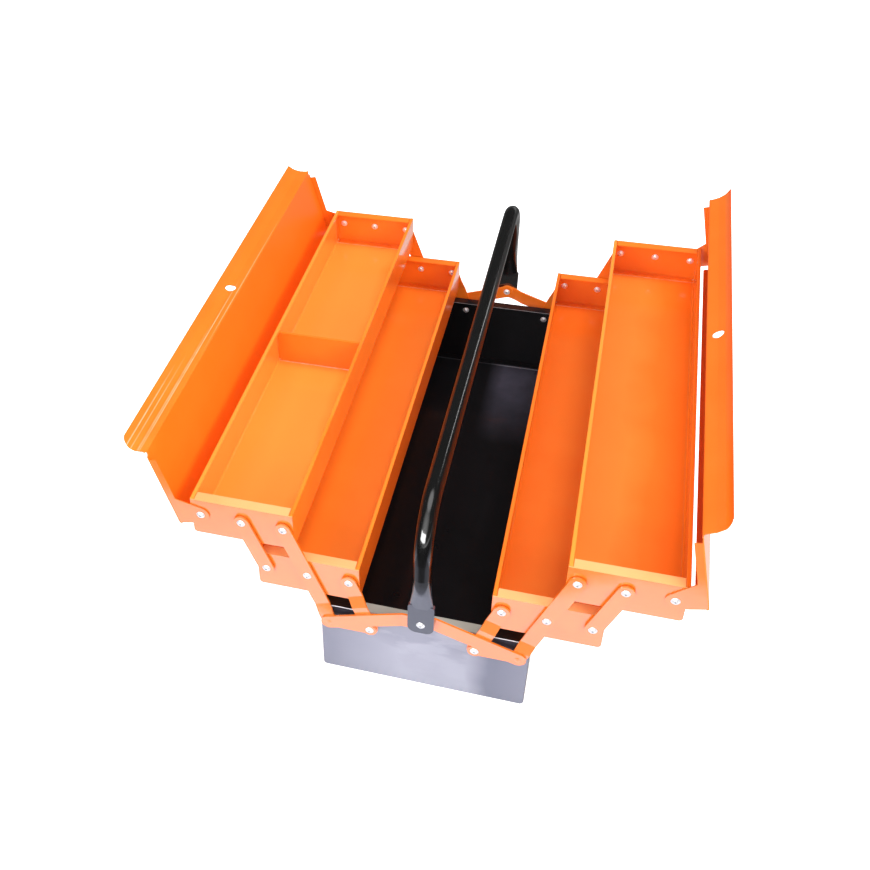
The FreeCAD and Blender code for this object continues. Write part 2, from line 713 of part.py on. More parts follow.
def divider(name):
    """Cross wall of a tray: a plate with a foot on the floor and a folded top edge."""
    wide = "(tray_width - 2 * sheet_gauge - 2 * divider_gap)"
    tall = "(tray_height - sheet_gauge - divider_drop)"
    slim = "(tray_width - 2 * rim_width - 2 * divider_gap)"
    floor_wide = "(tray_width - 2 * sheet_gauge - 2 * bend_radius)"
    waist = "(tray_height - rim_return - divider_gap)"
    return fuse(name, [
        box(name + "_plate", (f"-{wide} / 2", wide), ("divider_place", "sheet_gauge"),
            ("sheet_gauge + bend_radius", f"{waist} - sheet_gauge - bend_radius")),
        box(name + "_bottom", (f"-{floor_wide} / 2", floor_wide), ("divider_place", "sheet_gauge"),
            ("sheet_gauge", "bend_radius")),
        box(name + "_top", (f"-{slim} / 2", slim), ("divider_place", "sheet_gauge"),
            (f"{waist} - sheet_gauge", f"sheet_gauge + {tall} - {waist} + sheet_gauge")),
        box(name + "_hem", (f"-{slim} / 2", slim), ("divider_place", "divider_hem"),
            (tall, "sheet_gauge")),
        box(name + "_foot", (f"-{floor_wide} / 2", floor_wide), ("divider_place", "divider_flange"),
            ("sheet_gauge", "sheet_gauge")),
    ])


# The whole box

def build_base():
    node(trough("base_floor", "base_width", "base_height", "base_length"), "base_trough")
    rivets, spacers = [], []
    for label, end in ENDS.items():
        node(end_plate(f"base_plate_{label}", end, "base_width", "base_height", "base_length", base_holes()),
             f"base_end_{label}")
        for number, (x, z) in enumerate(base_holes()):
            name = f"base_pivot_{label}_{number}"
            painted = number % 2 == 1
            head = ("painted_head_radius", "painted_head_height") if painted else ("head_radius", "head_height")
            rivets.append(rivet(name, x, z, end, "base_end - sheet_gauge", "lever_out", head))
            spacers.append(ring(name + "_spacer", x, z, end, "base_end", "low_link_in - base_end - head_play",
                                "spacer_radius"))
    node(group("base_rivet_group", rivets), "base_pivot_rivets")
    node(group("base_spacer_group", spacers), "base_pivot_spacers")


def build_levers_and_handle():
    rivets = []
    for end_label, end in ENDS.items():
        for side_label, side in SIDES.items():
            name = f"lever_{end_label}_{side_label}"
            node(lever(name + "_bar", side, end, lapped=side * end > 0), name)
        rivets.append(rivet(f"handle_pivot_{end_label}", "0", "handle_pivot_z", end, "lever_in",
                            "tab_out + head_play"))
    node(group("handle_rivet_group", rivets), "handle_rivets")
    node(handle(), "handle")


def build_tray(side_label, level):
    side = SIDES[side_label]
    name = f"{side_label}_{level}_tray"
    across = f"{side} * {level}_tray_x"
    up = f"{level}_tray_z"
    node(place(trough(name, "tray_width", "tray_height", "tray_length"), across, z=up), name + "_trough")
    rivets, washers = [], []
    for label, end in ENDS.items():
        plate = end_plate(f"{name}_plate_{label}", end, "tray_width", "tray_height", "tray_length", tray_holes())
        node(place(plate, across, z=up), f"{name}_end_{label}")
        for number, (x, z) in enumerate(tray_holes()):
            rivet_name = f"{name}_rivet_{label}_{number}"
            carries_lid = level == "outer" and x == ("rivet_spacing" if side > 0 else "-rivet_spacing")
            head_face = "lid_end + head_play" if carries_lid else "link_out + head_play"
            rivets.append(rivet(rivet_name, x, z, end, "tray_end - sheet_gauge", head_face))
            if not carries_lid:
                washers.append(ring(rivet_name + "_washer", x, z, end, "tray_end", "link_standoff - head_play",
                                    "washer_radius"))
    node(place(group(name + "_rivet_group", rivets), across, z=up), name + "_rivets")
    node(place(group(name + "_washer_group", washers), across, z=up), name + "_washers")


def build_side(side_label):
    side = SIDES[side_label]
    build_tray(side_label, "inner")
    build_tray(side_label, "outer")
    for label, end in ENDS.items():
        arm = f"{side_label}_long_arm_{label}"
        node(link(arm + "_bar", side, end, "outer_pivot_x", "base_pivot_z", "2 * half_arm",
                  ["0", "half_arm", "2 * half_arm"], ("arm_joggle_start", "arm_joggle_end")), arm)
        lower = f"{side_label}_lower_link_{label}"
        node(link(lower + "_bar", side, end, "quarter", "base_pivot_z", "half_arm",
                  ["0", "half_arm"], ("low_joggle_start", "low_joggle_end")), lower)
        upper = f"{side_label}_upper_link_{label}"
        node(link(upper + "_bar", side, end, "inner_tray_x + rivet_spacing", "base_pivot_z + lift", "half_arm",
                  ["0", "half_arm"]), upper)
        bracket = f"{side_label}_lid_bracket_{label}"
        node(lid_bracket(bracket + "_sheet", side, end), bracket)
    panel = f"{side_label}_lid_panel"
    node(lid_panel(panel + "_sheet", side), panel)


def check_document():
    """Stops if any object failed, or if a sub-part has no sound solid."""
    for obj in doc.Objects:
        if "Invalid" in obj.State or "Error" in obj.State:
            raise RuntimeError(f"{obj.Name} is not up to date: {obj.State}")
    for obj in nodes:
        shape = obj.Shape
        if shape.isNull() or not shape.isValid() or not shape.Solids:
            raise RuntimeError(f"{obj.Label} has no valid solid")


def write_nodes():
    os.makedirs("parts", exist_ok=True)
    for obj in nodes:
        obj.Shape.exportStep(f"parts/{obj.Label}.step")
        print(f"{obj.Label}: {len(obj.Shape.Solids)} solids, {obj.Shape.Volume:.1f} mm3")


fill_sheet()
build_base()
build_levers_and_handle()
for each_side in SIDES:
    build_side(each_side)
left_divider = place(divider("divider_sheet"), "-(outer_tray_x)", z="outer_tray_z")
node(left_divider, "left_outer_tray_divider")
doc.recompute()
check_document()
write_nodes()
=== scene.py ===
import math

import bpy
from mathutils import Matrix, Vector

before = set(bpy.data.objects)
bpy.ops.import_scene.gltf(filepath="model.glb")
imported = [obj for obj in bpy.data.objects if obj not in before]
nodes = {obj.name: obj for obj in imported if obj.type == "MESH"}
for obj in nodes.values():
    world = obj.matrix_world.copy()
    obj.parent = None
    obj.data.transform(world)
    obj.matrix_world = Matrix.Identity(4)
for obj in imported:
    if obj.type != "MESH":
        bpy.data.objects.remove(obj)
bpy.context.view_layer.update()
scene = bpy.context.scene

# All lengths are in metres, and x, y and z are measured from the middle of the base's foot.
# A ramp is written as the two values between which it runs, and its strength at each.

# The photograph's size in pixels
PHOTO = 870

# Pinhole camera: focal length and image centre in pixels, place, and turn as axis times angle
FOCAL = 1100.06
CENTRE_U = 302.26
CENTRE_V = 394.71
CAMERA_PLACE = (0.11273, -0.91453, 0.92259)
CAMERA_TURN = (2.253312, 0.296154, -0.204632)
SENSOR_WIDTH = 36
CLIP_START = 0.01
CLIP_END = 50

# Lamps: name, place, aim, width and height, watts, and whether mirror rays see it
LAMPS = (
    ("top", (0.4, 0.3, 2.6), (0, 0, 0.1), (0.8, 0.8), 32, False),
    ("key", (-0.3, -1.5, 0.6), (0, 0, 0.1), (1.4, 0.45), 14, True),
    ("left_fill", (-1.3, -0.2, 1.3), (0, 0, 0.15), (1.0, 1.0), 8, False),
    ("right_fill", (1.4, -0.8, 1.15), (0, 0, 0.15), (0.8, 0.8), 18, False),
    ("strip", (0.92, 1.5, 1.08), (0, -0.05, 0.24), (0.08, 0.9), 0.7, True),
)

# Strength of the surroundings: the plain light, then what mirror rays see
AMBIENT = 0.71
HORIZON = 0.9
CEILING = 0.03
SOFT_GLOW = 0.9
OVERHEAD_GLOW = 1.1
# Where these are, as a direction and as ramps along the x or z of a ray's direction
GLOW_TOWARDS = (-0.1, -0.75, 0.65)
GLOW_RAMP = (0.75, 1.0, 0.0, SOFT_GLOW)
HORIZON_RAMP = (0.0, 0.12, HORIZON, CEILING)
HORIZON_SIDE_RAMP = (-0.1, 0.3, 0.1, 1.0)
OVERHEAD_RAMP = (0.87, 0.96, CEILING, OVERHEAD_GLOW)

# Floor: its size, depth below the object and tones, and its own light to the camera by distance
FLOOR_SIZE = 12
FLOOR_DROP = 0.0005
FLOOR_TONES = ((0.86, 0.86, 0.87), (0.9, 0.9, 0.91))
FLOOR_LIGHT_RAMP = (0.3, 0.8, 0.65, 1.0)

# White sheet under the object, as mirror rays see it: y of its front edge, in the middle and aside
SHEET_END = -0.405
SHEET_SIDE_END = -0.46
SHEET_SIDE_FROM = 0.09
SHEET_SIDE_TO = 0.2
# Its strength across the front edge and by distance, and its tint in front
SHEET_EDGE_RAMP = (-0.012, 0.012, 0.12, 1.0)
SHEET_FAR_RAMP = (0.45, 0.75, 1.0, 0.15)
SHEET_TINT = (0.82, 0.84, 1.0)
SHEET_TINT_FROM = -0.32
SHEET_TINT_TO = -0.22
WHITE = (1.0, 1.0, 1.0)

# Paints as their main, deeper and paler tones
ORANGE = ((0.94, 0.205, 0.013), (0.92, 0.175, 0.01), (0.95, 0.24, 0.019))
# Painted shade: deeper orange for the outer walls of the inner trays
SHADED_WALL_ORANGE = ((0.96, 0.15, 0.006), (0.95, 0.13, 0.005), (0.97, 0.18, 0.01))
# Painted reflection: paler orange on the tops of the trays' front flanges
FLANGE_REFLECTION_ORANGE = ((0.94, 0.41, 0.15), (0.92, 0.36, 0.12), (0.96, 0.48, 0.21))
BLACK = ((0.0066, 0.0062, 0.0075), (0.0055, 0.0052, 0.0062), (0.0085, 0.0083, 0.01))
HANDLE_BLACK = ((0.005, 0.005, 0.005), (0.0035, 0.0035, 0.0035), (0.008, 0.008, 0.008))
# Painted highlight: grey on the inner edges of the base's ends
EDGE_HIGHLIGHT_GREY = ((0.35, 0.35, 0.37), (0.2, 0.2, 0.21), (0.5, 0.5, 0.52))
END_GREY = ((0.335, 0.335, 0.41), (0.3, 0.301, 0.37), (0.38, 0.38, 0.455))
# Painted reflection: grey-olive on the base's front rim over the opening
RIM_REFLECTION_OLIVE = ((0.36, 0.37, 0.325), (0.27, 0.28, 0.24), (0.46, 0.47, 0.43))
# Steels as their main and dark tones
RIVET_STEEL = ((0.97, 0.97, 0.98), (0.75, 0.75, 0.77))
DIMPLE_STEEL = ((0.42, 0.42, 0.46), (0.3, 0.3, 0.33))

# How each paint shines
ORANGE_SHINE = {"rough": 0.34, "ior": 1.45, "coat": 0.6, "coat_rough": 0.06}
TRAY_SHINE = {**ORANGE_SHINE, "coat": 1.0}
FRONT_SHINE = {**ORANGE_SHINE, "coat": 1.0, "coat_ior": 2.9}
LEFT_LID_SHINE = {**ORANGE_SHINE, "coat": 0.25, "coat_rough": 0.15}
RIGHT_LID_SHINE = {**ORANGE_SHINE, "coat": 0.45, "coat_rough": 0.15}
FLANGE_SHINE = {"rough": 0.4, "coat": 0.3, "coat_rough": 0.2}
BLACK_SHINE = {"rough": 0.3, "ior": 1.35, "coat": 0.35, "coat_rough": 0.05, "wear": 0.3}
HANDLE_SHINE = {"rough": 0.3, "ior": 1.3, "coat": 1.0, "coat_rough": 0.08, "coat_ior": 2.1}
EDGE_HIGHLIGHT_SHINE = {"rough": 0.4, "coat": 0.0, "coat_rough": 0.1}
END_SHINE = {"rough": 0.35, "coat": 0.6, "coat_rough": 0.12}
STEEL_ROUGH = 0.4
STEEL_METALLIC = 0.6
# Strength and depth of the enamel's orange peel, and of the steel's grain
PEEL = 0.1
PEEL_DEPTH = 0.001
GRAIN = 0.15
GRAIN_DEPTH = 0.0004

# Colours that are laid over a paint in places
# Painted light on the lit side of the trays' floors
PAINTED_LIGHT_ORANGE = (0.98, 0.36, 0.05)
# Painted shade on the right outer tray's floor and on the left lid
SHADED_ORANGE = (0.93, 0.14, 0.004)
# Painted shade on the right lid's lip
LIP_SHADE_ORANGE = (0.86, 0.1, 0.004)
# Painted highlights: along the trays' seams, on the left lid's lip, and along the base's seams
TRAY_SEAM_HIGHLIGHT = (1.0, 0.72, 0.5)
LIP_HIGHLIGHT = (1.0, 0.8, 0.55)
BASE_SEAM_HIGHLIGHT = (0.6, 0.6, 0.66)
# Painted reflections on the base's floor and on the handle's front foot
FLOOR_REFLECTION_PATCH = (0.075, 0.071, 0.1)
HANDLE_FOOT_REFLECTION = (0.045, 0.047, 0.065)
# Painted shade and painted dark reflections on the outside of the base's ends
END_SHADE = (0.14, 0.145, 0.2)
END_GAP_REFLECTION = (0.028, 0.03, 0.044)
END_SPECK = (0.05, 0.05, 0.07)
# Painted shade line and painted highlight line along the top corner of the base's ends
END_CORNER = (0.02, 0.02, 0.025)
END_TOP_HIGHLIGHT = (0.9, 0.9, 0.93)
RIM_BLACK = (0.005, 0.005, 0.006)

# Most of a noise's values lie between these
NOISE_LOW = 0.3
NOISE_HIGH = 0.7
# Sizes of the enamel's marks as noise scales, and how the noises turn into marks
BROAD_SCALE = 7.0
CLOUD_SCALE = 26.0
SCRATCH_SCALE = 1400.0
SCRATCH_STRETCH = (1.0, 0.04, 1.0)
DUST_SCALE = 900.0
PEEL_SCALE = 420.0
SAG_SCALE = 28.0
DEEP_RAMP = (0.35, 0.7, 0.0, 0.8)
PALE_RAMP = (0.4, 0.8, 0.0, 0.4)
SCRATCH_RAMP = (0.74, 0.82, 0.0, 1.0)
DUST_RAMP = (0.68, 0.8, 0.0, 1.0)
PEEL_SHARE = 0.35
SAG_SHARE = 2.0
ROUGH_SPREAD = (0.9, 1.1)
# The same for the steel
SPECK_GRAIN_SCALE = 700.0
STAIN_SCALE = 300.0
DARK_RAMP = (0.45, 0.75, 0.0, 0.6)
STEEL_ROUGH_SPREAD = (0.7, 1.4)
# The same for what is laid over the paints
TRAY_EDGE_SCALE = 14.0
TRAY_BREAK_SCALE = 120.0
TRAY_BREAK_RAMP = (0.35, 0.6, 0.3, 1.0)
LIP_HIGHLIGHT_BREAK_SCALE = 40.0
LIP_HIGHLIGHT_BREAK_RAMP = (0.3, 0.6, 0.5, 1.0)
PATCH_SCALE = 30.0
END_EDGE_SCALE = 18.0
BLOTCH_REFLECTION_SCALE = 24.0
BLOTCH_REFLECTION_STRETCH = (1.0, 1.0, 2.4)
GAP_EDGE_SCALE = 60.0
FLOOR_GRAIN_SCALE = 60.0

# How far from the middle the end plates' feet meet the floors of the trays and the base
TRAY_SEAM = 0.2605
BASE_SEAM = 0.2612
# Painted highlight lines there: first and last distance from the seam, softness, strength
TRAY_SEAM_LINES = ((0.0, 0.0018, 0.0005, 1.0), (-0.0055, -0.0048, 0.0008, 0.45))
BASE_SEAM_LINES = ((0.0, 0.0015, 0.0005, 1.0), (-0.007, -0.0062, 0.0006, 0.5))
# The same at the foot of the divider: width, softness, height and strength
DIVIDER_LINE = 0.0016
DIVIDER_LINE_SOFT = 0.0005
DIVIDER_LINE_HEIGHT = 0.0006
DIVIDER_LINE_STRENGTH = 0.7
# They keep this far below a tray's rim and from the outside of its walls, and end this softly
BELOW_RIM = 0.003
BELOW_RIM_SOFT = 0.001
INSIDE_WALL = 0.0008
INSIDE_WALL_SOFT = 0.0001

# Painted light: where across a tray's floor the paler, lit side ends, as a share of its width, and
# how pale it is
TRAY_PAINTED_LIGHT = {
    ("left", "outer"): (0.88, 0.75),
    ("left", "inner"): (1.3, 0.2),
    ("right", "inner"): (0.0, 0.0),
    ("right", "outer"): (0.5, 0.6),
}
PAINTED_LIGHT_SOFT = 0.14
# Shaded right side of the right outer tray's floor: where it runs as shares of the width, strength
SHADE_FROM = 0.6
SHADE_TO = 0.85
SHADE_STRENGTH = 0.45
# How far the edges of soft patches wander
WANDER = 0.006
GAP_WANDER = 0.003

# Painted highlight lines on the left lid's lip: x, half width, first and last y at full strength,
# strength
LIP_LINES = (
    (-0.2768, 0.0002, -0.3, -0.22, 0.5),
    (-0.2722, 0.0002, -0.3, -0.2, 0.3),
    (-0.2655, 0.0006, -0.3, -0.14, 0.3),
    (-0.2637, 0.0002, -0.22, -0.06, 0.55),
    (-0.2584, 0.0001, -0.04, 0.07, 0.45),
)
LIP_LINE_SOFT = 0.0004
LIP_LINE_FADE = 0.08
# Heights of the lips as the lids stand open
LEFT_LIP_FOOT = 0.2562
RIGHT_LIP_FOOT = 0.2676
RIGHT_LIP_TOP = 0.2872
LIP_SOFT = 0.0005
# Painted shade: deeper orange towards the rear of the left lid's panel and lip, by y
PANEL_SHADE_RAMP = (-0.1, 0.25, 0.3, 0.6)
LIP_SHADE_RAMP = (-0.25, 0.1, 0.0, 0.45)
# Painted shade on the right lid's lip: width at bend and brim, strength added there, and overall
LIP_BEND = 0.004
LIP_BRIM = 0.005
LIP_EDGE_STRENGTH = 0.6
LIP_STRENGTH = 0.35

# Floor of the base: height of its edge, half width inside, and the patch of painted reflection at
# the rear right
BASE_FLOOR_TOP = 0.004
BASE_FLOOR_FADE = 0.008
BASE_INSIDE = 0.098
BASE_INSIDE_END = 0.0985
PATCH_FROM_Y = 0.1
PATCH_TO_Y = 0.22
PATCH_FROM_X = -0.012
PATCH_TO_X = 0.008
PATCH_LEAST = 0.6
BASE_LINE_LEAST = 0.2

# Dull oval on the handle's legs, and how much coat is left in it
OVAL_HEIGHT = 0.184
OVAL_HALF_HEIGHT = 0.031
OVAL_HALF_WIDTH = 0.0078
OVAL_RAMP = (0.85, 1.0, 0.12, 1.0)
# Coat beside the grip's crest by |x|, height below which the whole leg is coated, and where the
# painted grey reflection on the front foot lies
CREST_RAMP = (0.004, 0.006, 1.0, 0.1)
LEG_TOP = 0.195
LEG_TOP_FADE = 0.215
FOOT_TOP = 0.15
FOOT_TOP_FADE = 0.17
FRONT_HALF = 0.1

# Outside of the base's ends: painted shade to the right (by x and leaning z) and left, painted
# dark reflections in blotches, and a painted black reflection in the gap
END_RIGHT_RAMP = (0.046, 0.068, 0.0, 0.95)
END_RIGHT_EDGE_RAMP = (0.07, 0.098, 1.0, 0.8)
END_LEAN = 0.15
END_LEFT_RAMP = (-0.095, -0.02, 0.72, 0.0)
BLOTCH_REFLECTION_RAMP = (0.46, 0.6, 0.0, 0.4)
BLOTCH_REFLECTION_HEIGHT_RAMP = (0.035, 0.065, 0.15, 1.0)
GAP_FROM_X = 0.053
GAP_TO_X = 0.058
GAP_FROM_Z = 0.078
GAP_TO_Z = 0.084
SPECK_SCALE = 60.0
SPECK_RAMP = (0.04, 0.06, 0.8, 0.0)
SPECK_FEW = 0.78
SPECK_FEW_FULL = 0.8
# Painted highlight line, and painted dark line of shade above it, at the top corner
TOP_HIGHLIGHT_LOW = 0.0928
TOP_HIGHLIGHT_HIGH = 0.0936
TOP_HIGHLIGHT_SOFT = 0.0003
CORNER_LOW = 0.0938
CORNER_HIGH = 0.094
# The rim in front is black beyond this |x|, and shows its painted reflection within it
RIM_BARE = 0.057
RIM_BARE_FADE = 0.064

# Which faces get a second paint: least cosines to an axis, depths of skin and rim, places
FACING = 0.9
RIM_FACING = 0.97
FLANGE_FACING = 0.7
DIMPLE_FACING = 0.972
SKIN = 0.0005
EDGE_SKIN = 0.0002
RIM_DEPTH = 0.004
WALL_REACH = 0.02
PAINTED_RIVETS = 0.07
SMOOTH_ANGLE = 35.0


def rgba(colour):
    return (*colour, 1.0)


def rotation_from_vector(v):
    """Rotation matrix of a turn about v by its length in radians."""
    axis = Vector(v)
    return Matrix.Rotation(axis.length, 3, axis.normalized())


def add_camera():
    data = bpy.data.cameras.new("photo_camera")
    data.sensor_fit = "HORIZONTAL"
    data.sensor_width = SENSOR_WIDTH
    data.lens = FOCAL / PHOTO * data.sensor_width
    data.shift_x = (PHOTO / 2 - CENTRE_U) / PHOTO
    data.shift_y = (CENTRE_V - PHOTO / 2) / PHOTO
    data.clip_start = CLIP_START
    data.clip_end = CLIP_END
    data.dof.use_dof = False
    camera = bpy.data.objects.new("photo_camera", data)
    # The fitted turn has x to the right, y down and z ahead. Blender's camera looks along -z.
    turn = Matrix(((1, 0, 0), (0, -1, 0), (0, 0, -1))) @ rotation_from_vector(CAMERA_TURN)
    camera.matrix_world = Matrix.Translation(CAMERA_PLACE) @ turn.transposed().to_4x4()
    scene.collection.objects.link(camera)
    scene.camera = camera


def add_lamp(name, place, aim, size, power, mirrored):
    data = bpy.data.lights.new(name, "AREA")
    data.shape = "RECTANGLE"
    data.size, data.size_y = size
    data.energy = power
    light = bpy.data.objects.new(name, data)
    light.location = place
    light.rotation_euler = (Vector(aim) - Vector(place)).to_track_quat("-Z", "Y").to_euler()
    light.visible_glossy = mirrored
    scene.collection.objects.link(light)


class Nodes:
    """Short hand for building a node tree."""

    def __init__(self, tree):
        self.tree = tree
        tree.nodes.clear()

    def add(self, kind, inputs=None, **settings):
        made = self.tree.nodes.new(kind)
        for key, item in settings.items():
            setattr(made, key, item)
        for key, item in (inputs or {}).items():
            self.feed(made.inputs[key], item)
        return made

    def feed(self, socket, item):
        """Links the item to the socket, or writes it there if it is a plain value."""
        if isinstance(item, bpy.types.NodeSocket):
            self.tree.links.new(item, socket)
        else:
            socket.default_value = item

    def place(self):
        """The point on the surface. It rides along with a piece that moves."""
        return self.add("ShaderNodeTexCoord").outputs["Object"]

    def axes(self, names):
        """The coordinates of the point on the surface that are named, such as "XZ"."""
        parts = self.add("ShaderNodeSeparateXYZ", {"Vector": self.place()}).outputs
        return [parts[name] for name in names]

    def noise(self, place, scale, detail=2.0, rough=0.5, distortion=0.0):
        return self.add("ShaderNodeTexNoise", {
            "Vector": place, "Scale": scale, "Detail": detail, "Roughness": rough,
            "Distortion": distortion}).outputs["Fac"]

    def stretched(self, place, scale):
        return self.add("ShaderNodeMapping", {"Vector": place, "Scale": scale}).outputs["Vector"]

    def math(self, kind, a, b=0.0):
        return self.add("ShaderNodeMath", {0: a, 1: b}, operation=kind).outputs[0]

    def fold(self, kind, first, *others):
        for other in others:
            first = self.math(kind, first, other)
        return first

    def product(self, *values):
        return self.fold("MULTIPLY", *values)

    def highest(self, *values):
        return self.fold("MAXIMUM", *values)

    def remap(self, value, low, high, at_low, at_high):
        """A ramp from at_low to at_high as value runs from low to high, level beyond both."""
        made = self.add("ShaderNodeMapRange", {"Value": value, "From Min": low, "From Max": high,
                                               "To Min": at_low, "To Max": at_high})
        made.clamp = True
        return made.outputs["Result"]

    def rise(self, value, low, high):
        return self.remap(value, low, high, 0.0, 1.0)

    def fall(self, value, low, high):
        return self.remap(value, low, high, 1.0, 0.0)

    def band(self, value, low, high, soft):
        """1 between low and high, fading to 0 over the soft distance outside them."""
        return self.product(self.rise(value, low - soft, low), self.fall(value, high, high + soft))

    def lines(self, value, start, lines):
        """Lines across value, each as first and last distance from start, softness, strength."""
        return self.highest(*(
            self.product(self.band(value, start + first, start + last, soft), strength)
            for first, last, soft, strength in lines))

    def wander(self, value, scale, reach):
        """The value, moved by up to reach either way from place to place."""
        noise = self.noise(self.place(), scale)
        return self.math("ADD", value, self.remap(noise, NOISE_LOW, NOISE_HIGH, -reach, reach))

    def between(self, factor, a, b):
        """The value a where factor is 0, b where it is 1."""
        return self.math("ADD", self.product(self.math("SUBTRACT", 1.0, factor), a),
                         self.product(factor, b))

    def mix(self, factor, a, b):
        made = self.add("ShaderNodeMix", data_type="RGBA", blend_type="MIX")
        for key, item in (("Factor", factor), ("A", a), ("B", b)):
            self.feed([s for s in made.inputs if s.name == key and s.enabled][0], item)
        return [s for s in made.outputs if s.enabled][0]


class Surface(Nodes):
    """The node tree of a new material."""

    def __init__(self, name):
        self.material = bpy.data.materials.new(name)
        self.material.use_nodes = True
        super().__init__(self.material.node_tree)

    def finish(self, shader):
        self.add("ShaderNodeOutputMaterial", {"Surface": shader})


class Enamel(Surface):
    """Glossy stoved enamel: soft tone changes, orange peel, fine dust and hairline scratches."""

    def __init__(self, name, tones, rough, coat, coat_rough, coat_ior=1.5, ior=1.5, wear=0.06):
        super().__init__(name)
        colour, deep, pale = (rgba(tone) for tone in tones)
        place = self.place()
        broad = self.noise(place, BROAD_SCALE)
        cloud = self.noise(place, CLOUD_SCALE, detail=3.0)
        tone = self.mix(self.remap(broad, *DEEP_RAMP), colour, deep)
        tone = self.mix(self.remap(cloud, *PALE_RAMP), tone, pale)
        along = self.stretched(place, SCRATCH_STRETCH)
        scratch = self.remap(self.noise(along, SCRATCH_SCALE, distortion=0.6), *SCRATCH_RAMP)
        dust = self.remap(self.noise(place, DUST_SCALE, detail=3.0, rough=0.6), *DUST_RAMP)
        worn = self.product(self.highest(dust, scratch), wear)
        self.tone = self.mix(worn, tone, pale)
        roughness = self.remap(cloud, NOISE_LOW, NOISE_HIGH,
                               *(rough * spread for spread in ROUGH_SPREAD))
        fine_peel = self.product(self.noise(place, PEEL_SCALE), PEEL_SHARE)
        sag = self.product(self.noise(place, SAG_SCALE), SAG_SHARE)
        height = self.math("ADD", fine_peel, sag)
        bump = self.add("ShaderNodeBump", {"Strength": PEEL, "Distance": PEEL_DEPTH,
                                           "Height": height}).outputs["Normal"]
        self.shader = self.add("ShaderNodeBsdfPrincipled", {
            "Base Color": self.tone, "Roughness": self.math("ADD", roughness, worn), "IOR": ior,
            "Coat Weight": coat, "Coat Roughness": coat_rough, "Coat IOR": coat_ior,
            "Normal": bump, "Coat Normal": bump})
        self.finish(self.shader.outputs["BSDF"])

    def lay(self, mask, colour):
        """Lays a colour over the paint where the mask is 1."""
        self.tone = self.mix(mask, self.tone, rgba(colour))
        self.feed(self.shader.inputs["Base Color"], self.tone)


def steel(name, tones, rough):
    """Bright steel with a fine grain and dull specks."""
    n = Surface(name)
    colour, dark = (rgba(tone) for tone in tones)
    place = n.place()
    speck = n.noise(place, SPECK_GRAIN_SCALE, detail=4.0, rough=0.65)
    tone = n.mix(n.remap(speck, *DARK_RAMP), colour, dark)
    stain = n.noise(place, STAIN_SCALE, detail=3.0, rough=0.6)
    roughness = n.remap(stain, NOISE_LOW, NOISE_HIGH,
                        *(rough * spread for spread in STEEL_ROUGH_SPREAD))
    bump = n.add("ShaderNodeBump", {"Strength": GRAIN, "Distance": GRAIN_DEPTH,
                                    "Height": speck}).outputs["Normal"]
    n.finish(n.add("ShaderNodeBsdfPrincipled", {
        "Base Color": tone, "Roughness": roughness, "Metallic": STEEL_METALLIC,
        "Normal": bump}).outputs["BSDF"])
    return n.material


def tray_enamel(side, level):
    """Orange inside a tray: painted light makes its floor paler on the lit side, and painted
    highlights run along its ends' feet.
    """
    trough = corners(f"{side}_{level}_tray_trough")
    low, high = min(v.x for v in trough), max(v.x for v in trough)
    rim = max(v.z for v in trough)

    def part_way(share):
        return low + share * (high - low)

    n = Enamel(f"{side}_{level}_tray_enamel", ORANGE, **TRAY_SHINE)
    x, y, z = n.axes("XYZ")
    edge = n.wander(x, TRAY_EDGE_SCALE, WANDER)
    # Painted light: the floor is paler on its lit side
    lit, strength = TRAY_PAINTED_LIGHT[side, level]
    n.lay(n.remap(edge, part_way(lit - PAINTED_LIGHT_SOFT), part_way(lit + PAINTED_LIGHT_SOFT), strength, 0.0),
          PAINTED_LIGHT_ORANGE)
    # Painted shade on the right side of this tray's floor
    if (side, level) == ("right", "outer"):
        n.lay(n.remap(edge, part_way(SHADE_FROM), part_way(SHADE_TO), 0.0, SHADE_STRENGTH),
              SHADED_ORANGE)
    # Painted highlights along the feet of the ends, and of the divider in the left outer tray
    seam = n.lines(n.math("ABSOLUTE", y), TRAY_SEAM, TRAY_SEAM_LINES)
    if (side, level) == ("left", "outer"):
        divider = corners("left_outer_tray_divider")
        foot, floor = min(v.y for v in divider), min(v.z for v in divider)
        seam = n.highest(seam, n.product(
            n.band(y, foot - DIVIDER_LINE, foot, DIVIDER_LINE_SOFT),
            n.remap(z, floor, floor + DIVIDER_LINE_HEIGHT, DIVIDER_LINE_STRENGTH, 0.0)))
    broken = n.remap(n.noise(n.place(), TRAY_BREAK_SCALE, rough=0.6), *TRAY_BREAK_RAMP)
    below_rim = n.fall(z, rim - BELOW_RIM, rim - BELOW_RIM + BELOW_RIM_SOFT)
    inside = n.band(x, low + INSIDE_WALL, high - INSIDE_WALL, INSIDE_WALL_SOFT)
    n.lay(n.product(seam, broken, below_rim, inside), TRAY_SEAM_HIGHLIGHT)
    return n.material


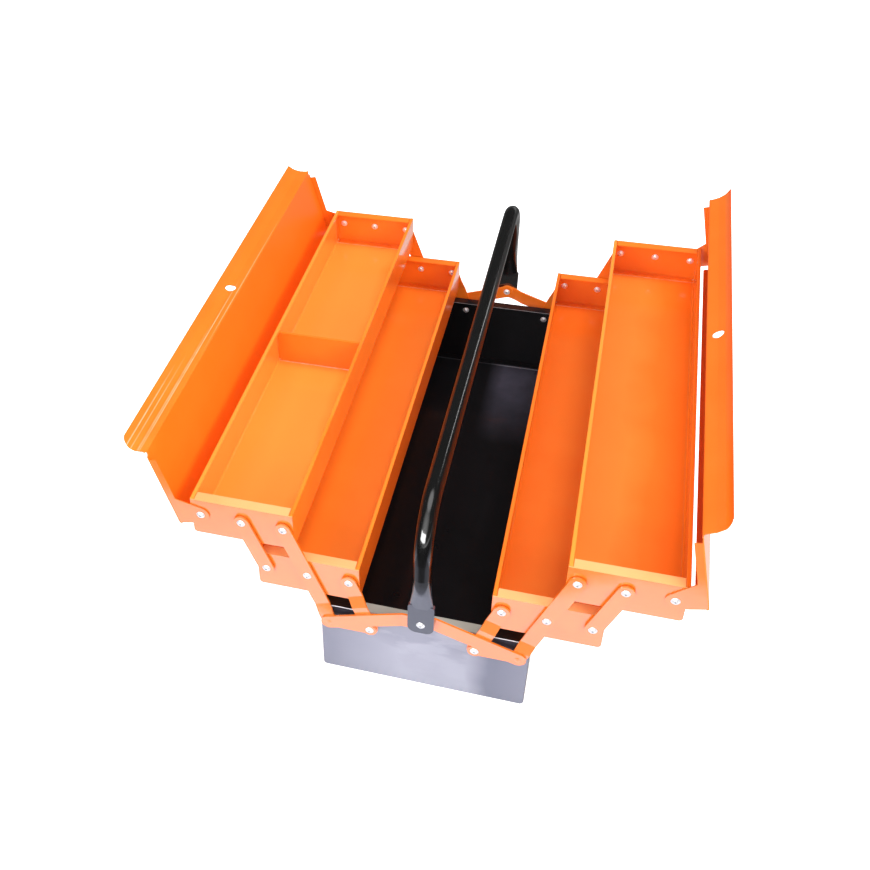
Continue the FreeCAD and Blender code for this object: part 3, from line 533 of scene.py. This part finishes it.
def left_lid_enamel():
    """Orange of the left lid, with painted shade towards the rear and painted highlight lines
    along its lip.
    """
    n = Enamel("left_lid_enamel", ORANGE, **LEFT_LID_SHINE)
    x, y, z = n.axes("XYZ")
    lip = n.rise(z, LEFT_LIP_FOOT, LEFT_LIP_FOOT + LIP_SOFT)
    # Painted shade towards the rear
    n.lay(n.between(lip, n.remap(y, *PANEL_SHADE_RAMP), n.remap(y, *LIP_SHADE_RAMP)),
          SHADED_ORANGE)
    # Painted highlight lines along the lip
    highlit = n.highest(*(
        n.product(n.band(x, across - half, across + half, LIP_LINE_SOFT),
                  n.band(y, first, last, LIP_LINE_FADE), strength)
        for across, half, first, last, strength in LIP_LINES))
    broken = n.remap(n.noise(n.place(), LIP_HIGHLIGHT_BREAK_SCALE, detail=3.0, rough=0.6), *LIP_HIGHLIGHT_BREAK_RAMP)
    n.lay(n.product(highlit, broken, lip), LIP_HIGHLIGHT)
    return n.material


def right_lid_enamel():
    """Orange of the right lid, with painted shade on its lip that deepens towards both edges, as
    on a rolled strip.
    """
    n = Enamel("right_lid_enamel", ORANGE, **RIGHT_LID_SHINE)
    z, = n.axes("Z")
    # Painted shade on the lip, deeper at both edges
    bend = n.fall(z, RIGHT_LIP_FOOT, RIGHT_LIP_FOOT + LIP_BEND)
    brim = n.rise(z, RIGHT_LIP_TOP - LIP_BRIM, RIGHT_LIP_TOP)
    deep = n.math("ADD", n.product(n.highest(bend, brim), LIP_EDGE_STRENGTH), LIP_STRENGTH)
    lip = n.rise(z, RIGHT_LIP_FOOT - LIP_SOFT, RIGHT_LIP_FOOT)
    n.lay(n.product(lip, deep), LIP_SHADE_ORANGE)
    return n.material


def base_inside_enamel():
    """Black of the base's trough, with a painted reflection at the rear right and painted
    highlights along the seam at each end.
    """
    n = Enamel("base_enamel", BLACK, **BLACK_SHINE)
    x, y, z = n.axes("XYZ")
    # Painted reflection on the floor at the rear right
    cloudy = n.remap(n.noise(n.place(), PATCH_SCALE, detail=3.0, rough=0.6),
                     NOISE_LOW, NOISE_HIGH, PATCH_LEAST, 1.0)
    low = n.fall(z, BASE_FLOOR_TOP, BASE_FLOOR_FADE)
    n.lay(n.product(n.rise(y, PATCH_FROM_Y, PATCH_TO_Y), n.rise(x, PATCH_FROM_X, PATCH_TO_X),
                    cloudy, low), FLOOR_REFLECTION_PATCH)
    # Painted highlights along the seams at the ends' feet
    seam = n.lines(n.math("ABSOLUTE", y), BASE_SEAM, BASE_SEAM_LINES)
    fading = n.remap(x, PATCH_FROM_X, PATCH_TO_X, BASE_LINE_LEAST, 1.0)
    inside = n.fall(n.math("ABSOLUTE", x), BASE_INSIDE, BASE_INSIDE_END)
    n.lay(n.product(seam, fading, low, inside), BASE_SEAM_HIGHLIGHT)
    return n.material


def handle_enamel():
    """Black of the handle: duller beside its crest and in an oval on each leg, with a painted grey
    reflection on the front foot.
    """
    n = Enamel("handle_enamel", HANDLE_BLACK, **HANDLE_SHINE)
    x, y, z = n.axes("XYZ")
    # Painted grey reflection on the front foot
    n.lay(n.product(n.fall(z, FOOT_TOP, FOOT_TOP_FADE), n.fall(y, -FRONT_HALF, FRONT_HALF)),
          HANDLE_FOOT_REFLECTION)
    across = n.math("DIVIDE", x, OVAL_HALF_WIDTH)
    along = n.math("DIVIDE", n.math("SUBTRACT", z, OVAL_HEIGHT), OVAL_HALF_HEIGHT)
    radius = n.math("SQRT", n.math("ADD", n.product(across, across), n.product(along, along)))
    oval = n.remap(radius, *OVAL_RAMP)
    crest = n.remap(n.math("ABSOLUTE", x), *CREST_RAMP)
    leg = n.fall(z, LEG_TOP, LEG_TOP_FADE)
    n.feed(n.shader.inputs["Coat Weight"], n.math("MINIMUM", oval, n.highest(crest, leg)))
    return n.material


def base_end_enamel():
    """Pale grey outside the base's ends: painted shade to the left and right, painted dark
    reflections in blotches, and specks.
    """
    n = Enamel("base_end_enamel", END_GREY, **END_SHINE)
    x, z = n.axes("XZ")
    # Painted shade to the right and left, and painted dark reflections in blotches, laid in one
    # darker tone
    wavy = n.wander(x, END_EDGE_SCALE, WANDER)
    leaning = n.math("ADD", wavy, n.product(z, END_LEAN))
    right = n.product(n.remap(leaning, *END_RIGHT_RAMP), n.remap(x, *END_RIGHT_EDGE_RAMP))
    left = n.remap(wavy, *END_LEFT_RAMP)
    flat = n.stretched(n.place(), BLOTCH_REFLECTION_STRETCH)
    reflected_blotch = n.product(n.remap(n.noise(flat, BLOTCH_REFLECTION_SCALE, detail=3.0, rough=0.55), *BLOTCH_REFLECTION_RAMP),
                       n.remap(z, *BLOTCH_REFLECTION_HEIGHT_RAMP))
    n.lay(n.highest(right, left, reflected_blotch), END_SHADE)
    # Painted dark reflection, almost black, between the arms' feet and the lower links
    height = n.wander(z, GAP_EDGE_SCALE, GAP_WANDER)
    n.lay(n.product(n.rise(n.math("ABSOLUTE", x), GAP_FROM_X, GAP_TO_X),
                    n.rise(height, GAP_FROM_Z, GAP_TO_Z)), END_GAP_REFLECTION)
    cells = n.add("ShaderNodeTexVoronoi", {"Vector": n.place(), "Scale": SPECK_SCALE}).outputs
    chance = n.add("ShaderNodeSeparateColor", {"Color": cells["Color"]}).outputs["Red"]
    n.lay(n.product(n.remap(cells["Distance"], *SPECK_RAMP),
                    n.rise(chance, SPECK_FEW, SPECK_FEW_FULL)), END_SPECK)
    # Painted highlight along the corner above, under a thin painted dark line of shade.
    n.lay(n.rise(z, CORNER_LOW, CORNER_HIGH), END_CORNER)
    n.lay(n.band(z, TOP_HIGHLIGHT_LOW, TOP_HIGHLIGHT_HIGH, TOP_HIGHLIGHT_SOFT), END_TOP_HIGHLIGHT)
    return n.material


def base_rim_reflection_enamel():
    """The base's front rim: black under the trays, with a painted grey reflection where the
    opening is.
    """
    n = Enamel("base_rim_reflection_enamel", RIM_REFLECTION_OLIVE, **FLANGE_SHINE)
    x, = n.axes("X")
    n.lay(n.rise(n.math("ABSOLUTE", x), RIM_BARE, RIM_BARE_FADE), RIM_BLACK)
    return n.material


def add_world():
    world = bpy.data.worlds.new("studio")
    world.use_nodes = True
    scene.world = world
    n = Nodes(world.node_tree)
    path = n.add("ShaderNodeLightPath").outputs
    # Mirror rays see a bright horizon on the right, soft glows above the front and overhead,
    # and a dim ceiling.
    towards = n.add("ShaderNodeTexCoord").outputs["Generated"]
    parts = n.add("ShaderNodeSeparateXYZ", {"Vector": towards}).outputs
    horizon = n.product(n.remap(parts["Z"], *HORIZON_RAMP),
                        n.remap(parts["X"], *HORIZON_SIDE_RAMP))
    facing = n.add("ShaderNodeVectorMath", {0: towards, 1: Vector(GLOW_TOWARDS).normalized()},
                   operation="DOT_PRODUCT").outputs["Value"]
    mirrored = n.highest(horizon, n.remap(facing, *GLOW_RAMP), n.remap(parts["Z"], *OVERHEAD_RAMP))
    strength = n.highest(path["Is Camera Ray"],
                         n.between(path["Is Glossy Ray"], AMBIENT, mirrored))
    back = n.add("ShaderNodeBackground", {"Color": rgba(WHITE), "Strength": strength})
    n.add("ShaderNodeOutputWorld", {"Surface": back.outputs["Background"]})


def add_floor():
    bpy.ops.mesh.primitive_plane_add(size=FLOOR_SIZE, location=(0, 0, -FLOOR_DROP))
    floor = bpy.context.object
    floor.name = "floor"
    n = Surface("floor_white")
    place = n.place()
    grain = n.rise(n.noise(place, FLOOR_GRAIN_SCALE, detail=3.0, rough=0.6), NOISE_LOW, NOISE_HIGH)
    tone = n.mix(grain, *(rgba(tone) for tone in FLOOR_TONES))
    diffuse = n.add("ShaderNodeBsdfDiffuse", {"Color": tone}).outputs["BSDF"]
    path = n.add("ShaderNodeLightPath").outputs
    away = n.add("ShaderNodeVectorMath", {0: place}, operation="LENGTH").outputs["Value"]
    light = n.product(path["Is Camera Ray"], n.remap(away, *FLOOR_LIGHT_RAMP))
    white = n.add("ShaderNodeEmission", {"Color": rgba(WHITE), "Strength": light})
    seen = n.add("ShaderNodeAddShader", {0: diffuse, 1: white.outputs["Emission"]})
    # Mirror rays see a white sheet of paper round the object, and less light beyond its edges.
    x, y = n.axes("XY")
    front = n.remap(n.math("ABSOLUTE", x), SHEET_SIDE_FROM, SHEET_SIDE_TO,
                    SHEET_END, SHEET_SIDE_END)
    sheet = n.product(n.remap(n.math("SUBTRACT", y, front), *SHEET_EDGE_RAMP),
                      n.remap(away, *SHEET_FAR_RAMP))
    tint = n.mix(n.rise(y, SHEET_TINT_FROM, SHEET_TINT_TO), rgba(SHEET_TINT), rgba(WHITE))
    mirrored = n.add("ShaderNodeEmission", {"Color": tint, "Strength": sheet})
    both = n.add("ShaderNodeMixShader", {"Fac": path["Is Glossy Ray"], 1: seen.outputs["Shader"],
                                         2: mirrored.outputs["Emission"]})
    n.finish(both.outputs["Shader"])
    floor.data.materials.append(n.material)


def corners(node):
    return [v.co for v in nodes[node].data.vertices]


def smooth(node):
    mesh = nodes[node].data
    mesh.shade_smooth()
    mesh.set_sharp_from_angle(angle=math.radians(SMOOTH_ANGLE))


def set_material(node, material):
    mesh = nodes[node].data
    mesh.materials.clear()
    mesh.materials.append(material)


def set_faces(node, material, wanted):
    """Gives a second material to the faces whose centre and normal pass the test."""
    mesh = nodes[node].data
    mesh.materials.append(material)
    slot = len(mesh.materials) - 1
    for face in mesh.polygons:
        if wanted(face.center, face.normal):
            face.material_index = slot


def dress_trough(node):
    side, level = node.split("_")[:2]
    set_material(node, tray_enamel(side, level))
    across = [v.x for v in corners(node)]
    middle = (min(across) + max(across)) / 2
    # Painted shade: the outer walls of the inner trays take a deeper orange
    if level == "inner":
        set_faces(node, shaded_wall_orange, lambda at, normal: (
            abs(normal.x) > FACING and (at.x - middle) * normal.x > WALL_REACH))
    set_faces(node, orange, lambda at, normal: normal.z < -FACING)


def dress_base_end(end):
    node = f"base_end_{end}"
    away = [abs(v.y) for v in corners(node)]
    inner, outer = min(away), max(away)
    rim = max(v.z for v in corners(node))
    set_faces(node, end_grey, lambda at, normal: (
        abs(normal.y) > FACING and abs(at.y) > outer - SKIN))
    # The front rim's top takes its painted reflection
    if end == "front":
        set_faces(node, rim_reflection, lambda at, normal: (
            normal.z > RIM_FACING and at.z > rim - RIM_DEPTH))
    # Painted highlight on the inner edges
    set_faces(node, painted_highlight_edge, lambda at, normal: (
        abs(normal.y) > FACING and abs(at.y) < inner + EDGE_SKIN))


def dress_front_tray_end(node):
    outer = max(abs(v.y) for v in corners(node))
    rim = max(v.z for v in corners(node))
    # Painted reflection: the flanges' tops take a paler orange
    set_faces(node, flange, lambda at, normal: (
        normal.z > FLANGE_FACING and at.z > rim - RIM_DEPTH))
    set_faces(node, front_orange, lambda at, normal: (
        abs(normal.y) > FACING and abs(at.y) > outer - SKIN))


def first_material(node):
    """The material of a piece, before single faces get others."""
    if node == "base_trough":
        return base_inside
    if node.startswith("base_end"):
        return black
    if "rivet" in node or "washer" in node or "spacer" in node:
        return rivet_steel
    if node == "handle":
        return handle_black
    if node == "left_lid_panel":
        return left_lid
    if node == "right_lid_panel":
        return right_lid
    if "rear" not in node and any(word in node for word in ("arm", "link", "lever", "bracket")):
        return front_orange
    return orange


orange = Enamel("orange_enamel", ORANGE, **ORANGE_SHINE).material
front_orange = Enamel("front_enamel", ORANGE, **FRONT_SHINE).material
# The deeper orange of the inner trays' outer walls below is painted shade, the paler orange of the
# front flanges' tops a painted reflection, and the grey of the base ends' inner edges a painted
# highlight.
shaded_wall_orange = Enamel("shaded_wall_enamel", SHADED_WALL_ORANGE, **ORANGE_SHINE).material
flange = Enamel("flange_reflection_enamel", FLANGE_REFLECTION_ORANGE, **FLANGE_SHINE).material
black = Enamel("black_enamel", BLACK, **BLACK_SHINE).material
painted_highlight_edge = Enamel("painted_highlight_edge", EDGE_HIGHLIGHT_GREY, **EDGE_HIGHLIGHT_SHINE).material
rivet_steel = steel("rivet_steel", RIVET_STEEL, STEEL_ROUGH)
dimple = steel("rivet_dimple", DIMPLE_STEEL, STEEL_ROUGH)
handle_black = handle_enamel()
base_inside = base_inside_enamel()
end_grey = base_end_enamel()
rim_reflection = base_rim_reflection_enamel()
left_lid = left_lid_enamel()
right_lid = right_lid_enamel()

for name in nodes:
    smooth(name)
    if name.endswith("tray_trough"):
        dress_trough(name)
    else:
        set_material(name, first_material(name))
for name in ("front", "rear"):
    dress_base_end(name)
for name in nodes:
    if name.endswith("tray_end_front"):
        dress_front_tray_end(name)
    # Each rivet has a dull dimple, and those at the arms' feet are painted over.
    if name.endswith("rivets"):
        set_faces(name, dimple, lambda at, normal: abs(normal.y) > DIMPLE_FACING)
set_faces("base_pivot_rivets", front_orange, lambda at, normal: abs(at.x) > PAINTED_RIVETS)

add_camera()
add_world()
add_floor()
for lamp in LAMPS:
    add_lamp(*lamp)

scene.view_settings.view_transform = "Standard"
